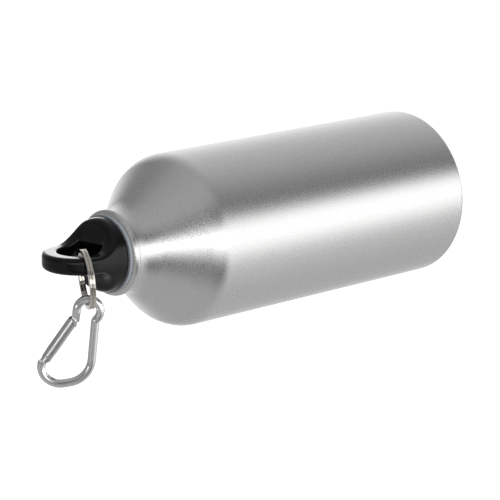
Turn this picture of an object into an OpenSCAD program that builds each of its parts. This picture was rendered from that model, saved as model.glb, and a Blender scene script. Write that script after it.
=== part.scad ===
// Aluminium sports bottle lying loose in its own upright frame: the foot stands on
// z = 0, the neck points up +Z, and the loop of the screw cap lies in the XZ plane.
// The split ring and the snap hook hang off the +X leg of the loop towards -Y.

/* [Bottle] */
// outside diameter of the body (mm)
body_diameter = 73; // [60:0.5:90]
// height of the mouth above the foot (mm)
mouth_height = 179.05; // [150:0.25:240]
// wall thickness of the body (mm)
wall = 0.9; // [0.6:0.1:1.5]
// outside radius at the foot's edge (mm)
foot_fillet = 3; // [2:0.5:6]
// outside radius of the neck (mm)
neck_radius = 16; // [14:0.1:20]
// radius of the shoulder's convex bend (mm)
shoulder_bend = 14; // [8:0.5:20]
// radius of the concave bend into the neck (mm)
neck_bend = 16; // [8:0.5:20]
// slope of the shoulder away from the bottle's axis (degrees)
shoulder_slope = 42.7; // [30:0.1:60]
// radius of the rolled lip's section (mm)
lip_roll = 1.75; // [1:0.05:2.5]

/* [Screw thread] */
// rise of the thread in one turn (mm)
pitch = 4; // [3:0.5:6]
// bore of the neck's threaded sleeve between the threads (mm)
neck_bore = 13.4; // [12:0.1:15]
// outside radius of the plug's thread (mm)
thread_crest = 14.2; // [13:0.1:15]
// turns of thread on the plug
plug_turns = 2.25; // [1:0.25:3]

/* [Cap] */
// radius of the cap's rim (mm)
cap_radius = 15.5; // [15:0.1:20]
// thickness of the cap's loop (mm)
loop_thickness = 7.2; // [5:0.1:10]
// radius of the loop's outside arch (mm)
arch_radius = 15.6; // [15:0.1:20]
// radius of the hole through the loop (mm)
hole_radius = 9.3; // [7:0.1:12]

/* [Split ring] */
// outside diameter of the ring (mm)
ring_diameter = 24.5; // [20:0.5:32]
// width of the ring's wire across the ring (mm)
ring_wire_width = 1.7; // [1.6:0.1:3]
// thickness of one of the ring's two coils (mm)
ring_coil = 1.2; // [0.8:0.1:1.6]

/* [Snap hook] */
// diameter of the hook's wire (mm)
hook_wire = 3.5; // [3:0.1:4]
// bend radius of the eye, to the wire's centre (mm)
eye_bend = 4.72; // [4:0.1:6]
// diameter of the hook's gate (mm)
gate_diameter = 4.4; // [3.6:0.1:4.6]
// length of the gate from its pin to its free end (mm)
gate_reach = 19.2; // [18.8:0.1:20]

/* [Hidden] */
$fn = 96;
body_r = body_diameter / 2;
lip_z = mouth_height - lip_roll;
lip_r = neck_radius + 0.15;
// shoulder heights, worked down from the neck
neck_arc_z = lip_z - 1.1;
neck_arc_r = neck_radius + neck_bend * (1 - cos(shoulder_slope));
cone_top_z = neck_arc_z - neck_bend * sin(shoulder_slope);
cone_low_r = body_r - shoulder_bend * (1 - cos(shoulder_slope));
cone_low_z = cone_top_z - (cone_low_r - neck_arc_r) / tan(shoulder_slope);
body_top_z = cone_low_z - shoulder_bend * sin(shoulder_slope);

gasket_z = mouth_height + 0.02;
flange_z = mouth_height + 1.45;
rim_z = mouth_height + 1.85;
floor_z = mouth_height + 6.75;
arch_z = mouth_height + 14.35;
hole_floor_z = mouth_height + 8.45;
plug_low_z = mouth_height - 16.75;
plug_core = 13;
thread_low_z = mouth_height - 14.25;
// the threaded sleeve inside the neck
sleeve_r = neck_radius - wall - 0.05;
sleeve_z = thread_low_z - 2.6;
scallop = 9.1;

// the ring passes round the loop's +X leg
ring_turn = 28.5;
ring_lean = 4.5;
ring_x = 10.7;
ring_y = -5.45;
ring_z = mouth_height + 20.15;
ring_out = ring_diameter / 2;
ring_in = ring_out - ring_wire_width;
coil_step = ring_coil + 0.06;
jog = 165;
jog_half = 20;

// the eye of the hook hangs on the ring's lowest point
hook_turn = 46.05;
eye_drop = 2.43;
eye_x = ring_x + 0.35;
eye_y = ring_y - ring_in * cos(ring_lean) - eye_drop;
eye_z = ring_z - 0.5;
wire_r = hook_wire / 2;
gate_r = gate_diameter / 2;
gate_angle = 55;
hinge_u = -16.73;
hinge_v = -18.93;
tab = 0.8;
fork = 0.95;
hinge_pin_r = 0.6;
latch_pin_r = 0.55;
latch_s = 18.3;
latch_t = 1.2;
plunger_r = 1.02;
plunger_tip = 1.42;
plunger_top = 4.4;
spring_top = 11.2;
spring_r = 0.78;
spring_wire = 0.2;
spring_coils = 5;

function arc(cx, cy, r, a0, a1, n) =
    [for (i = [0 : n]) let (a = a0 + (a1 - a0) * i / n) [cx + r * cos(a), cy + r * sin(a)]];

// a helical tooth of trapezium section, from radius r1 to r2
module helix(r1, r2, half1, half2, z0, a0, turns) {
    steps = round(turns * 20);
    section = [[r1, -half1], [r2, -half2], [r2, half2], [r1, half1]];
    points = [for (i = [0 : steps], p = section)
        let (a = a0 + 360 * turns * i / steps)
        [p[0] * cos(a), p[0] * sin(a), z0 + pitch * (a - a0) / 360 + p[1]]];
    sides = [for (i = [0 : steps - 1], j = [0 : 3])
        let (p = 4 * i + j, q = 4 * i + (j + 1) % 4) each [[p, q, q + 4], [p, q + 4, p + 4]]];
    last = 4 * steps;
    polyhedron(points, concat(sides, [[3, 2, 1, 0], [last, last + 1, last + 2, last + 3]]));
}

// one-piece shell: domed base, straight wall, round shoulder, short neck, rolled lip
module bottle_body() {
    outside = concat(
        [[33.5 - 5, 0]],
        arc(body_r - foot_fillet, foot_fillet, foot_fillet, -90, 0, 6),
        arc(body_r - shoulder_bend, body_top_z, shoulder_bend, 0, shoulder_slope, 9),
        arc(neck_radius + neck_bend, neck_arc_z, neck_bend, 180 + shoulder_slope, 182.6, 9),
        arc(lip_r, lip_z, lip_roll, -84, 90, 12),
        [[neck_radius - wall + 0.5, mouth_height], [neck_radius - wall, mouth_height - 0.5]]);
    inside = concat(
        arc(neck_radius + neck_bend, neck_arc_z, neck_bend + wall, 180, 180 + shoulder_slope, 7),
        arc(body_r - shoulder_bend, body_top_z, shoulder_bend - wall, shoulder_slope, 0, 6),
        arc(body_r - foot_fillet, foot_fillet + 0.6, foot_fillet - wall, 0, -90, 4),
        [[28.5, 1.5], [24, 4.6], [16, 6.6], [8, 7.6], [0, 7.9]]);
    under = [[0, 6.4], [8, 6.1], [16, 5.1], [24, 3.1], [27.2, 0.9]];
    color([0.74, 0.75, 0.77])
    rotate_extrude($fn = 48) polygon(concat(outside, inside, under));
}

// threaded sleeve pushed into the neck and held under the rolled lip
module neck_insert() {
    color([0.12, 0.12, 0.12])
    difference() {
        translate([0, 0, sleeve_z]) cylinder(h = mouth_height - 0.05 - sleeve_z, r = sleeve_r, $fn = 64);
        translate([0, 0, sleeve_z - 1]) cylinder(h = 30, r = neck_bore, $fn = 64);
        helix(neck_bore - 0.2, thread_crest + 0.4, 1.15, 0.59, thread_low_z - pitch / 18, -20, 4.25);
    }
}

module loop_outline() {
    translate([-20, flange_z]) square([40, arch_z - flange_z]);
    translate([0, arch_z]) circle(arch_radius);
}

// everything cut away beside the loop, down to the cap's dished end face
module scallop_outline() {
    half = loop_thickness / 2;
    translate([half, floor_z + scallop]) square([20, 30]);
    // the end face falls away a little towards the rim
    translate([half + scallop, floor_z]) polygon([[0, 0], [3, -1.4], [20, -1.4], [20, 30], [0, 30]]);
    translate([half + scallop, floor_z + scallop]) circle(scallop);
}

// one black moulding: rim, loop handle and hollow threaded plug
module cap() {
    color([0.05, 0.05, 0.055]) {
        difference() {
            intersection() {
                union() {
                    translate([0, 0, flange_z])
                        cylinder(h = rim_z - flange_z, r1 = cap_radius - 0.4, r2 = cap_radius);
                    translate([0, 0, rim_z]) cylinder(h = 30, r = cap_radius);
                }
                rotate([90, 0, 0]) translate([0, 0, -20])
                    linear_extrude(40) loop_outline();
            }
            for (side = [0, 1])
                mirror([0, side, 0]) rotate([90, 0, 90]) translate([0, 0, -20])
                    linear_extrude(40) scallop_outline();
            rotate([90, 0, 0]) translate([0, 0, -20]) linear_extrude(40)
                intersection() {
                    translate([0, arch_z]) circle(hole_radius);
                    translate([-15, hole_floor_z]) square([30, 30]);
                }
            translate([0, 0, flange_z - 1]) cylinder(h = 4, r = 10.4);
        }
        difference() {
            union() {
                translate([0, 0, plug_low_z]) cylinder(h = flange_z - plug_low_z, r = plug_core);
                helix(plug_core - 0.3, thread_crest, 1.05, 0.45, thread_low_z, 0, plug_turns);
            }
            translate([0, 0, plug_low_z - 1]) cylinder(h = 30, r = 10.4);
        }
    }
}

// flat sealing ring squeezed between the lip and the cap's rim
module cap_gasket() {
    color([0.66, 0.69, 0.72])
    translate([0, 0, gasket_z]) difference() {
        cylinder(h = flange_z - 0.02 - gasket_z, r = 16.1);
        translate([0, 0, -1]) cylinder(h = 4, r = plug_core + 0.3);
    }
}

function wire_section(z) =
    let (c = 0.3, h = ring_coil / 2)
    [[ring_in, z - h + c], [ring_in + c, z - h], [ring_out - c, z - h], [ring_out, z - h + c],
     [ring_out, z + h - c], [ring_out - c, z + h], [ring_in + c, z + h], [ring_in, z + h - c]];

// the wire lies in the first coil, then climbs smoothly to the second at the jog
function coil_height(a) =
    let (t = min(1, max(0, (a - 360 + jog_half) / (2 * jog_half))))
    coil_step * (t * t * (3 - 2 * t) - 0.5);

module place_ring() {
    translate([ring_x, ring_y, ring_z]) rotate([0, -ring_turn, 0]) rotate([ring_lean, 0, 0])
        children();
}

// one length of flat wire in two coils, with the jog where it climbs to the second coil
module split_ring() {
    steps = 84;
    first = jog_half + 3;
    points = [for (i = [0 : steps])
        let (a = first + (720 - 2 * first) * i / steps)
        for (p = wire_section(coil_height(a)))
            [p[0] * cos(jog + a), p[0] * sin(jog + a), p[1]]];
    sides = [for (i = [0 : steps - 1], j = [0 : 7])
        let (p = 8 * i + j, q = 8 * i + (j + 1) % 8) each [[p, q, q + 8], [p, q + 8, p + 8]]];
    last = 8 * steps;
    color([0.7, 0.67, 0.62])
    place_ring()
        polyhedron(points, concat(sides, [[for (j = [7 : -1 : 0]) j], [for (j = [0 : 7]) last + j]]));
}

// the hook's own plane: u to the right, v up towards the ring, its face towards +Z here
module place_hook() {
    translate([eye_x, eye_y, eye_z]) rotate([0, hook_turn, 0]) children();
}

module place_gate() {
    place_hook() translate([hinge_u, hinge_v, 0]) rotate([0, 0, gate_angle]) children();
}

// round wire swept along a flat path
module wire(path) {
    sides = 18;
    last = len(path) - 1;
    points = [for (i = [0 : last])
        let (run = path[min(last, i + 1)] - path[max(0, i - 1)], side = [-run[1], run[0]] / norm(run))
        for (j = [0 : sides - 1])
            let (c = wire_r * cos(360 * j / sides), z = wire_r * sin(360 * j / sides))
            [path[i][0] + c * side[0], path[i][1] + c * side[1], z]];
    skin = [for (i = [0 : last - 1], j = [0 : sides - 1])
        let (p = sides * i + j, q = sides * i + (j + 1) % sides)
            each [[p, q + sides, q], [p, p + sides, q + sides]]];
    polyhedron(points, concat(skin,
        [[for (j = [0 : sides - 1]) j], [for (j = [sides - 1 : -1 : 0]) sides * last + j]]));
}

// bent wire with a small eye, a waist, a straight spine and a wide lower bend; the nose
// ends in a hooked tongue and the other end in the flat tab that carries the gate
module hook_body() {
    slope = 9.63;
    spine = 84.13;
    low = [-11.92, -22.66];
    low_r = 7.755;
    corner_r = 10.69;
    tip_r = 6.63;
    tip_a = 220.5;
    tip_end = 158.4;
    line0 = low + low_r * [sin(slope), -cos(slope)];
    waist_c = [4.7, -5.01];
    waist_r = norm(waist_c) - eye_bend;
    waist0 = waist_c + waist_r * [-sin(spine), cos(spine)];
    waist_a = atan2(waist_c[1], waist_c[0]);
    // where the bottom run and the spine would meet with no bend
    gap = waist0 - line0;
    run = (gap[0] * sin(spine) - gap[1] * cos(spine)) / sin(spine - slope);
    corner = line0 + run * [cos(slope), sin(slope)];
    reach = corner_r * tan((spine - slope) / 2);
    turn0 = corner - reach * [cos(slope), sin(slope)];
    turn1 = corner + reach * [cos(spine), sin(spine)];
    turn_c = turn0 + corner_r * [-sin(slope), cos(slope)];
    tip_c = low + (low_r - tip_r) * [cos(tip_a), sin(tip_a)];
    nose_a = 172;
    nose = eye_bend * [cos(nose_a), sin(nose_a)];
    path = concat(
        [nose + 1.3 * [-sin(nose_a), cos(nose_a)]],
        arc(0, 0, eye_bend, nose_a, waist_a, 20),
        arc(waist_c[0], waist_c[1], waist_r, waist_a + 180, spine + 90, 5),
        arc(turn_c[0], turn_c[1], corner_r, spine - 90, slope - 90, 10),
        arc(low[0], low[1], low_r, slope + 270, tip_a, 7),
        arc(tip_c[0], tip_c[1], tip_r, tip_a, tip_end, 8));
    color([0.78, 0.78, 0.79])
    difference() {
        union() {
            place_hook() {
                wire([for (i = [0 : len(path) - 1])
                    if (i == 0 || norm(path[i] - path[max(0, i - 1)]) > 0.05) path[i]]);
                difference() {
                    translate([nose[0], nose[1], 0]) rotate([0, 0, nose_a + 90])
                        translate([1, -1.65, -tab]) cube([7, 3.3, 2 * tab]);
                    translate([hinge_u, hinge_v, -2]) cylinder(h = 4, r = latch_s - 1.6);
                    translate([hinge_u, hinge_v, -2]) rotate([0, 0, gate_angle]) {
                        translate([latch_s - 0.9, -6, 0]) cube([1.6, 5.5, 4]);
                        translate([14, -8.4, 0]) cube([9, 6, 4]);
                    }
                }
            }
            // the tab under the gate, flat on the side the plunger presses
            place_gate() difference() {
                union() {
                    translate([0, 0, -tab]) cylinder(h = 2 * tab, r = 1.7);
                    translate([-4.2, -1.2, -tab]) cube([4.2, 3, 2 * tab]);
                }
                translate([1.38, -3, -2]) cube([3, 6, 4]);
            }
        }
        place_gate() translate([0, 0, -3]) cylinder(h = 6, r = hinge_pin_r + 0.05);
    }
}

// round bar with a fork at each end and a blind bore for the spring
module hook_gate() {
    color([0.76, 0.76, 0.77])
    place_gate() difference() {
        union() {
            rotate([0, 90, 0]) cylinder(h = gate_reach - 0.8, r = gate_r, $fn = 48);
            translate([gate_reach - 0.8, 0, 0]) rotate([0, 90, 0])
                cylinder(h = 0.8, r1 = gate_r, r2 = gate_r - 0.6, $fn = 48);
            intersection() {
                translate([-3, 0, 0]) rotate([0, 90, 0]) cylinder(h = 3, r = gate_r, $fn = 48);
                translate([0, 0, -3]) cylinder(h = 6, r = gate_r + 0.03);
            }
        }
        translate([-3, -3, -fork]) cube([5.4, 6, 2 * fork]);
        translate([latch_s - 1.9, -3, -fork]) cube([5, 6, 2 * fork]);
        translate([1.0, 0, 0]) rotate([0, 90, 0]) cylinder(h = 11, r = 1.1, $fn = 40);
        translate([0, 0, -3]) cylinder(h = 6, r = hinge_pin_r);
        translate([latch_s, -latch_t, -3]) cylinder(h = 6, r = latch_pin_r);
    }
}

// rivet the gate turns on
module hinge_pin() {
    color([0.6, 0.6, 0.62])
    place_gate() translate([0, 0, -2]) cylinder(h = 4, r = hinge_pin_r);
}

// cross pin that the nose's tongue hooks round when the gate is shut
module latch_pin() {
    color([0.6, 0.6, 0.62])
    place_gate() translate([latch_s, -latch_t, -1.55]) cylinder(h = 3.1, r = latch_pin_r);
}

// blunt pin that rides on the tab
module gate_plunger() {
    color([0.5, 0.5, 0.52])
    place_gate() translate([plunger_tip, 0, 0]) rotate([0, 90, 0])
        cylinder(h = plunger_top - plunger_tip, r = plunger_r, $fn = 40);
}

// coil spring behind the plunger, each half coil a tilted half ring
module gate_spring() {
    rise = (spring_top - plunger_top - 2 * spring_wire) / spring_coils;
    tilt = asin(rise / 4 / spring_r);
    color([0.55, 0.55, 0.58])
    place_gate() rotate([0, 90, 0])
        for (i = [0 : 2 * spring_coils - 1])
            translate([0, 0, plunger_top + spring_wire + rise * (i + 0.5) / 2])
                rotate([0, 0, 180 * i]) rotate([0, tilt, 0])
                    rotate_extrude(angle = 180, $fn = 24) translate([spring_r, 0])
                        circle(spring_wire, $fn = 8);
}

bottle_body();
neck_insert();
cap();
cap_gasket();
split_ring();
hook_body();
hook_gate();
hinge_pin();
latch_pin();
gate_plunger();
gate_spring();
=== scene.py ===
import itertools
import math

import bpy
import numpy as np
from mathutils import Matrix, Vector


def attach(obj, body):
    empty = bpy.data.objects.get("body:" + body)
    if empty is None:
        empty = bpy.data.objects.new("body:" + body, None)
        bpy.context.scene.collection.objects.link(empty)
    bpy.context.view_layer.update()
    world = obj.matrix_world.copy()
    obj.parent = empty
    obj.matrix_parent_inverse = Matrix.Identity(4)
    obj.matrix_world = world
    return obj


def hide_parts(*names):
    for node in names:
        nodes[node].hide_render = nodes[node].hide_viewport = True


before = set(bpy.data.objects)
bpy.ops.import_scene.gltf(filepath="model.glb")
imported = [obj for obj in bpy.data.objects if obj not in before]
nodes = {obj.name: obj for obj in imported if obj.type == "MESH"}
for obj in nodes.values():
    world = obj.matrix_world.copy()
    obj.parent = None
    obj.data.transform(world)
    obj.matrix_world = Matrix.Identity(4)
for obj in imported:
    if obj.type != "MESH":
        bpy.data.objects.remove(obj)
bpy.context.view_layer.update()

MM = 0.001


# ---------------------------------------------------------------- shapes

def arc(cx, cy, r, a0, a1, n):
    """Points of a circular arc, angles in degrees."""
    return [(cx + r * math.cos(math.radians(a0 + (a1 - a0) * i / n)),
             cy + r * math.sin(math.radians(a0 + (a1 - a0) * i / n))) for i in range(n + 1)]


def mesh_object(name, verts, faces, material, smooth_angle=35):
    mesh = bpy.data.meshes.new(name)
    mesh.from_pydata([tuple(v) for v in verts], [], [tuple(f) for f in faces])
    mesh.validate()
    mesh.polygons.foreach_set("use_smooth", [True] * len(mesh.polygons))
    mesh.set_sharp_from_angle(angle=math.radians(smooth_angle))
    obj = bpy.data.objects.new(name, mesh)
    bpy.context.scene.collection.objects.link(obj)
    mesh.materials.append(material)
    return obj


def lathe(name, profile, material, segments=144):
    """Revolves an (r, z) profile in millimetres round the Z axis. Ends on the axis are closed."""
    verts, faces = [], []
    rings = []
    for r, z in profile:
        if r < 1e-6:
            rings.append([len(verts)] * segments)
            verts.append((0, 0, z * MM))
            continue
        rings.append(list(range(len(verts), len(verts) + segments)))
        for k in range(segments):
            a = 2 * math.pi * k / segments
            verts.append((r * MM * math.cos(a), r * MM * math.sin(a), z * MM))
    for low, high in zip(rings, rings[1:]):
        for k in range(segments):
            q = [low[k], low[(k + 1) % segments], high[(k + 1) % segments], high[k]]
            q = [v for i, v in enumerate(q) if v != q[i - 1]]
            if len(q) > 2:
                faces.append(q)
    return mesh_object(name, verts, faces, material)


# ---------------------------------------------------------------- materials

def new_material(name):
    material = bpy.data.materials.new(name)
    material.use_nodes = True
    tree = material.node_tree
    return material, tree, tree.nodes["Principled BSDF"]


def noise(tree, scale, detail=2.0):
    """Noise that stays with the object; the scale is in cells per metre."""
    n = tree.nodes.new("ShaderNodeTexNoise")
    n.inputs["Scale"].default_value = scale
    n.inputs["Detail"].default_value = detail
    coords = tree.nodes.new("ShaderNodeTexCoord")
    tree.links.new(coords.outputs["Object"], n.inputs["Vector"])
    return n.outputs["Fac"]


def remap(tree, value, low, high, out_low, out_high):
    m = tree.nodes.new("ShaderNodeMapRange")
    for socket, number in zip(("From Min", "From Max", "To Min", "To Max"), (low, high, out_low, out_high)):
        m.inputs[socket].default_value = number
    tree.links.new(value, m.inputs["Value"])
    return m.outputs["Result"]


def bump(tree, shader, height, strength):
    b = tree.nodes.new("ShaderNodeBump")
    b.inputs["Strength"].default_value = strength
    b.inputs["Distance"].default_value = 0.0001
    tree.links.new(height, b.inputs["Height"])
    tree.links.new(b.outputs["Normal"], shader.inputs["Normal"])


def two_tone(tree, shader, value, dark, light):
    ramp = tree.nodes.new("ShaderNodeValToRGB")
    ramp.color_ramp.elements[0].color = (*dark, 1)
    ramp.color_ramp.elements[1].color = (*light, 1)
    tree.links.new(value, ramp.inputs["Fac"])
    tree.links.new(ramp.outputs["Color"], shader.inputs["Base Color"])


def satin_aluminium():
    material, tree, shader = new_material("satin_aluminium")
    shader.inputs["Metallic"].default_value = 1.0
    grain = noise(tree, 2600, 1.0)
    two_tone(tree, shader, remap(tree, grain, 0.3, 0.7, 0, 1), (0.66, 0.66, 0.655), (0.84, 0.84, 0.835))
    tree.links.new(remap(tree, grain, 0.3, 0.7, 0.2, 0.32), shader.inputs["Roughness"])
    bump(tree, shader, grain, 0.25)
    return material


def black_plastic():
    material, tree, shader = new_material("black_plastic")
    mottled = noise(tree, 900)
    two_tone(tree, shader, mottled, (0.001, 0.001, 0.0012), (0.003, 0.003, 0.0034))
    tree.links.new(remap(tree, mottled, 0.3, 0.7, 0.14, 0.2), shader.inputs["Roughness"])
    shader.inputs["Specular IOR Level"].default_value = 0.3
    bump(tree, shader, mottled, 0.06)
    return material


def plain_metal(name, dark, light, rough_low, rough_high, scale=700):
    material, tree, shader = new_material(name)
    shader.inputs["Metallic"].default_value = 1.0
    streaks = noise(tree, scale)
    two_tone(tree, shader, streaks, dark, light)
    tree.links.new(remap(tree, streaks, 0.3, 0.7, rough_low, rough_high), shader.inputs["Roughness"])
    bump(tree, shader, streaks, 0.08)
    return material


def rubber():
    material, tree, shader = new_material("silicone_rubber")
    cloudy = noise(tree, 500)
    two_tone(tree, shader, cloudy, (0.32, 0.35, 0.38), (0.4, 0.43, 0.47))
    tree.links.new(remap(tree, cloudy, 0.3, 0.7, 0.35, 0.45), shader.inputs["Roughness"])
    return material


MATERIALS = {
    "aluminium_shell": satin_aluminium(),
    "cap_plastic": black_plastic(),
    "silicone": rubber(),
    "nickel": plain_metal("nickel_plate", (0.66, 0.63, 0.57), (0.8, 0.77, 0.71), 0.08, 0.16, 400),
    "hook": plain_metal("tumbled_aluminium", (0.78, 0.78, 0.78), (0.88, 0.88, 0.88), 0.08, 0.15, 400),
    "gate": plain_metal("drawn_aluminium", (0.7, 0.7, 0.7), (0.8, 0.8, 0.8), 0.16, 0.26, 400),
    "steel": plain_metal("bright_steel", (0.5, 0.5, 0.51), (0.62, 0.62, 0.63), 0.2, 0.3),
}


def dress(node, key):
    """Gives a piece that keeps its CAD shape its material and smooth shading."""
    obj = nodes[node]
    obj.data.materials.clear()
    obj.data.materials.append(MATERIALS[key])
    obj.data.polygons.foreach_set("use_smooth", [True] * len(obj.data.polygons))
    obj.data.set_sharp_from_angle(angle=math.radians(30))


# ---------------------------------------------------------------- bottle shell

# outside of the bottle, in millimetres and degrees; heights are worked down from the lip
body_r, neck_r, lip_z = 36.5, 16.0, 177.3
lip_roll = 1.75
slope = 42.7
wall = 0.9
foot_edge = 3
shoulder_bend, neck_bend = 14, 16
neck_arc_z = lip_z - 1.1
neck_arc_r = neck_r + neck_bend * (1 - math.cos(math.radians(slope)))
cone_top_z = neck_arc_z - neck_bend * math.sin(math.radians(slope))
cone_low_r = body_r - shoulder_bend * (1 - math.cos(math.radians(slope)))
cone_low_z = cone_top_z - (cone_low_r - neck_arc_r) / math.tan(math.radians(slope))
body_top_z = cone_low_z - shoulder_bend * math.sin(math.radians(slope))


def bottle_shell():
    """Closed shell: up the outside from the domed base, over the rolled lip and down the inside."""
    profile = [(0, 6.4), (8, 6.1), (16, 5.1), (24, 3.1), (27.2, 0.9), (28.5, 0.05)]
    profile += arc(body_r - foot_edge, foot_edge, foot_edge, -90, 0, 10)
    profile += [(body_r, z) for z in np.linspace(20, body_top_z - 8, 6)]
    profile += arc(body_r - shoulder_bend, body_top_z, shoulder_bend, 0, slope, 20)
    profile += arc(neck_r + neck_bend, neck_arc_z, neck_bend, 180 + slope, 182.6, 20)
    profile += arc(neck_r + 0.15, lip_z, lip_roll, -84, 90, 24)
    profile += [(neck_r - 0.4, lip_z + lip_roll), (neck_r - wall, lip_z + lip_roll - 0.5)]
    profile += arc(neck_r + neck_bend, neck_arc_z, neck_bend + wall, 180, 180 + slope, 12)
    profile += arc(body_r - shoulder_bend, body_top_z, shoulder_bend - wall, slope, 0, 12)
    profile += arc(body_r - foot_edge, foot_edge + 0.6, foot_edge - wall, 0, -90, 8)
    profile += [(28.5, 1.5), (24, 4.6), (16, 6.6), (8, 7.6), (0, 7.9)]
    shell = lathe("bottle_shell", profile, MATERIALS["aluminium_shell"])
    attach(shell, "bottle")
    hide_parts("bottle_body")


# ---------------------------------------------------------------- cap

# the cap, in millimetres
cap_r, cap_low_z, rim_z = 15.5, 180.5, 180.9
loop_z, loop_r = 193.4, 15.6
hole_r, hole_floor_z = 9.3, 187.5
scallop_r, scallop_y, scallop_z = 9.4, 13.0, 195.2
bore_r, bore_top_z = 10.4, 183.5


def smooth_max(a, b, k):
    """The larger of two distances, with the edge between them rounded over about k."""
    h = np.maximum(k - np.abs(a - b), 0) / k
    return np.maximum(a, b) + h * h * k / 4


def cap_distance(x, y, z):
    """Distance, in millimetres, outside the cap's loop handle and rim; negative inside."""
    r = np.hypot(x, y)
    side = r - cap_r + np.clip((z - 181) / 5, 0, 1) * 0.25
    chamfer = (r - cap_r + (rim_z - z)) * 0.7071
    arch = np.hypot(x, np.maximum(z - loop_z, 0)) - loop_r
    # each side of the loop is a hollow that falls away a little towards the rim
    away = np.abs(y)
    fall = np.clip((away - 12.2) / 3, 0, 1.1)
    leg = away + (z - 195) * 0.008
    top = z + 1.2 * fall * fall
    scallop = scallop_r - np.hypot(np.minimum(leg - scallop_y, 0), np.minimum(top - scallop_z, 0))
    solid = smooth_max(smooth_max(side, arch, 1.5), scallop, 2.2)
    solid = smooth_max(solid, cap_low_z - z, 0.3)
    solid = smooth_max(solid, chamfer, 0.4)
    hole = smooth_max(np.hypot(x, z - loop_z) - hole_r, hole_floor_z - z, 0.8)
    cavity = np.maximum(r - bore_r, z - bore_top_z)
    return np.maximum(smooth_max(solid, -hole, 1.3), -cavity)


def surface_net(distance, low, high, step):
    """Closed quad mesh of the zero level of a distance function, one vertex in each crossed cell."""
    axes = [np.arange(first, last + step, step) for first, last in zip(low, high)]
    x, y, z = np.meshgrid(*axes, indexing="ij")
    inside = distance(x, y, z) < 0
    count = np.zeros([n - 1 for n in inside.shape], int)
    near, far = slice(None, -1), slice(1, None)
    for corner in itertools.product((near, far), repeat=3):
        count += inside[corner]
    cells = np.argwhere((count > 0) & (count < 8))
    index = np.full(count.shape, -1)
    index[tuple(cells.T)] = np.arange(len(cells))
    points = np.array(low) + (cells + 0.5) * step
    # move the vertices down the distance's slope onto its zero level
    nudge = 0.02
    for _ in range(6):
        d = distance(*points.T)
        gradient = np.stack([(distance(*(points + e).T) - distance(*(points - e).T)) / (2 * nudge)
                             for e in nudge * np.eye(3)], 1)
        move = gradient * (d / np.maximum((gradient * gradient).sum(1), 0.05))[:, None]
        points = points - np.clip(move, -step, step) * 0.9
    faces = []
    for axis in range(3):
        u, v = (axis + 1) % 3, (axis + 2) % 3
        a = np.moveaxis(inside, axis, 0)
        changed = np.moveaxis(a[1:] != a[:-1], 0, axis)
        starts = np.moveaxis(a[:-1], 0, axis)
        for cell in np.argwhere(changed):
            if cell[u] == 0 or cell[v] == 0:
                continue
            quad = []
            for du, dv in ((0, 0), (1, 0), (1, 1), (0, 1)):
                c = cell.copy()
                c[u] -= du
                c[v] -= dv
                quad.append(index[tuple(c)])
            faces.append(quad if starts[tuple(cell)] else quad[::-1])
    return points, faces


def screw_plug():
    """Hollow plug under the cap, with its thread as a raised helix."""
    low, high, edge = 162.3, 180.7, 0.3
    core_r, root_r, crest_low_r, crest_rise = 13.0, 12.7, 12.95, 1.25
    pitch, turns, thread_low, steps = 4, 2.25, 164.8, 160
    profile = [(bore_r, high), (bore_r, low + edge), (bore_r + edge, low), (core_r - edge, low),
               (core_r, low + edge), (core_r, high), (bore_r, high)]
    plug = lathe("cap_plug", profile, MATERIALS["cap_plastic"], 96)
    verts, faces = [], []
    for i in range(steps + 1):
        turn = 2 * math.pi * turns * i / steps
        # the crest rises out of the core at each end of the thread
        grow = min(1, 6 * i / steps, 6 * (steps - i) / steps)
        crest = crest_low_r + crest_rise * grow
        z = thread_low + pitch * turn / (2 * math.pi)
        for r, dz in ((root_r, -1.05), (crest, -0.45), (crest, 0.45), (root_r, 1.05)):
            verts.append((r * MM * math.cos(turn), r * MM * math.sin(turn), (z + dz) * MM))
    for i in range(steps):
        for j in range(4):
            p, q = 4 * i + j, 4 * i + (j + 1) % 4
            faces.append((p, p + 4, q + 4, q))
    faces += [(0, 1, 2, 3), (4 * steps + 3, 4 * steps + 2, 4 * steps + 1, 4 * steps)]
    thread = mesh_object("cap_thread", verts, faces, MATERIALS["cap_plastic"])
    return plug, thread


def cap():
    low, high, step = (-16.6, -16.6, 179.6), (16.6, 16.6, 210.2), 0.4
    points, faces = surface_net(cap_distance, low, high, step)
    shell = mesh_object("cap_shell", points * MM, faces, MATERIALS["cap_plastic"], 60)
    plug, thread = screw_plug()
    for piece in (shell, plug, thread):
        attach(piece, "cap")
    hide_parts("cap")
    return shell


bottle_shell()
cap_shell = cap()
for node, key in (("neck_insert", "cap_plastic"), ("cap_gasket", "silicone"), ("split_ring", "nickel"),
                  ("hook_body", "hook"), ("hook_gate", "gate"), ("hinge_pin", "steel"),
                  ("latch_pin", "steel"), ("gate_plunger", "steel"), ("gate_spring", "steel")):
    dress(node, key)


# ---------------------------------------------------------------- studio

def floor():
    half = 3.0
    material, tree, shader = new_material("pale_floor")
    mottled = noise(tree, 3)
    two_tone(tree, shader, mottled, (0.9, 0.9, 0.9), (0.92, 0.92, 0.92))
    shader.inputs["Roughness"].default_value = 1.0
    shader.inputs["Specular IOR Level"].default_value = 0.0
    shader.inputs["Emission Color"].default_value = (1, 1, 1, 1)
    shader.inputs["Emission Strength"].default_value = 0.8
    corners = [(-half, -half, 0), (half, -half, 0), (half, half, 0), (-half, half, 0)]
    plane = mesh_object("floor", corners, [(0, 1, 2, 3)], material)
    plane.visible_glossy = False


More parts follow.
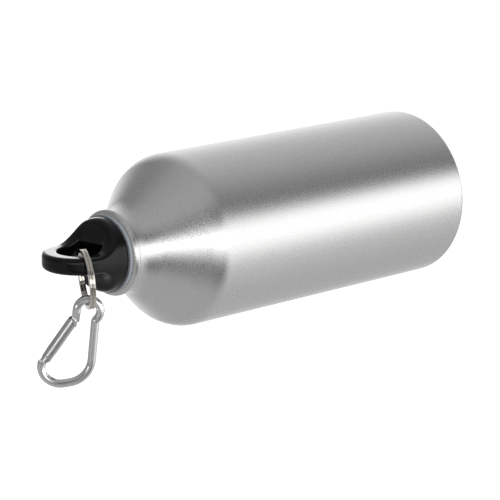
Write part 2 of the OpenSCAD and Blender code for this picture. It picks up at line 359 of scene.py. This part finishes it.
# light of the studio against the bearing it comes from, in degrees from +X towards +Y:
# first what the bottle's side mirrors from below, then what the shoulder mirrors from above
LOW_BEARINGS = [(-180, 1.15), (-160, 1.1), (-140, 0.8), (-128, 0.5), (-80, 0.5), (-50, 0.6), (-30, 0.75),
                (-18, 1.2), (-5, 1.5), (18, 1.5), (29, 0.5), (39, 0.17), (57, 0.25), (80, 0.4),
                (105, 0.5), (130, 0.6), (150, 0.8), (165, 1.0), (180, 1.15)]
HIGH_BEARINGS = [(-180, 0.28), (-155, 0.4), (-125, 0.44), (-67, 0.44), (-57, 0.41), (-47, 0.28), (-37, 0.17),
                 (-27, 0.18), (-17, 0.5), (-6, 1.3), (7, 2.9), (17, 0.9), (28, 0.14), (37, 0.14), (47, 0.36),
                 (59, 0.43), (81, 0.41), (100, 0.39), (117, 0.35), (125, 0.3), (137, 0.25), (155, 0.25),
                 (180, 0.28)]
STRENGTH = 2.0


def bearing_ramp(tree, around, bearings):
    """Light against bearing as a colour ramp, with the world's strength divided out."""
    ramp = tree.nodes.new("ShaderNodeValToRGB")
    ramp.color_ramp.interpolation = "B_SPLINE"
    elements = ramp.color_ramp.elements
    while len(elements) > 1:
        elements.remove(elements[-1])
    for i, (bearing, light) in enumerate(bearings):
        place = (bearing + 180) / 360
        stop = elements[0] if i == 0 else elements.new(place)
        stop.position = place
        stop.color = (light / STRENGTH, light / STRENGTH, light / STRENGTH, 1)
    tree.links.new(around, ramp.inputs["Fac"])
    return ramp.outputs["Color"]


def mix_colors(tree, factor, first, second):
    """The second may be a socket or a plain colour."""
    mix = tree.nodes.new("ShaderNodeMixRGB")
    tree.links.new(factor, mix.inputs["Fac"])
    tree.links.new(first, mix.inputs["Color1"])
    if isinstance(second, tuple):
        mix.inputs["Color2"].default_value = second
    else:
        tree.links.new(second, mix.inputs["Color2"])
    return mix.outputs["Color"]


def studio():
    """World that the metal mirrors; the camera itself sees it as a plain grey."""
    world = bpy.data.worlds.new("studio")
    bpy.context.scene.world = world
    world.use_nodes = True
    tree = world.node_tree
    background = tree.nodes["Background"]
    coords = tree.nodes.new("ShaderNodeTexCoord")
    radial = tree.nodes.new("ShaderNodeTexGradient")
    radial.gradient_type = "RADIAL"
    tree.links.new(coords.outputs["Generated"], radial.inputs["Vector"])
    parts = tree.nodes.new("ShaderNodeSeparateXYZ")
    tree.links.new(coords.outputs["Generated"], parts.inputs["Vector"])
    height = remap(tree, parts.outputs["Z"], -0.52, -0.1, 0, 1)
    low = bearing_ramp(tree, radial.outputs["Fac"], LOW_BEARINGS)
    high = bearing_ramp(tree, radial.outputs["Fac"], HIGH_BEARINGS)
    around = mix_colors(tree, height, low, high)
    path = tree.nodes.new("ShaderNodeLightPath")
    seen = mix_colors(tree, path.outputs["Is Camera Ray"], around, (0.5, 0.5, 0.5, 1))
    tree.links.new(seen, background.inputs["Color"])
    background.inputs["Strength"].default_value = STRENGTH


def cap_light():
    """Small soft panel that only the black cap mirrors, off its loop's upper side."""
    centre, reach = Vector((0.0, 0.0036, 0.199)), 0.25
    bearing, fall = math.radians(162), math.radians(-42)
    away = Vector((math.cos(fall) * math.cos(bearing), math.cos(fall) * math.sin(bearing), math.sin(fall)))
    data = bpy.data.lights.new("cap_light", "AREA")
    data.shape = "DISK"
    data.size = 0.13
    data.energy = 0.09
    obj = bpy.data.objects.new("cap_light", data)
    bpy.context.scene.collection.objects.link(obj)
    obj.location = centre + away * reach
    obj.rotation_euler = away.to_track_quat("Z", "Y").to_euler()
    obj.visible_camera = False
    lit = bpy.data.collections.new("lit_by_cap_light")
    lit.objects.link(cap_shell)
    obj.light_linking.receiver_collection = lit


def camera():
    """Camera fitted to the photo, given by its axes and place."""
    right = Vector((0.69406505, 0.0, -0.71991229))
    up = Vector((-0.16621183, 0.97298274, -0.16024427))
    back = Vector((0.70046223, 0.23087788, 0.67531331))
    data = bpy.data.cameras.new("camera")
    data.sensor_width = 36
    data.lens = 178.2
    data.clip_end = 20
    obj = bpy.data.objects.new("camera", data)
    bpy.context.scene.collection.objects.link(obj)
    turn = Matrix((right, up, back)).transposed().to_4x4()
    obj.matrix_world = Matrix.Translation((0.74626, 0.23408, 0.81772)) @ turn
    bpy.context.scene.camera = obj


floor()
studio()
cap_light()
camera()
bpy.context.scene.view_settings.view_transform = "Standard"

bpy.context.view_layer.update()
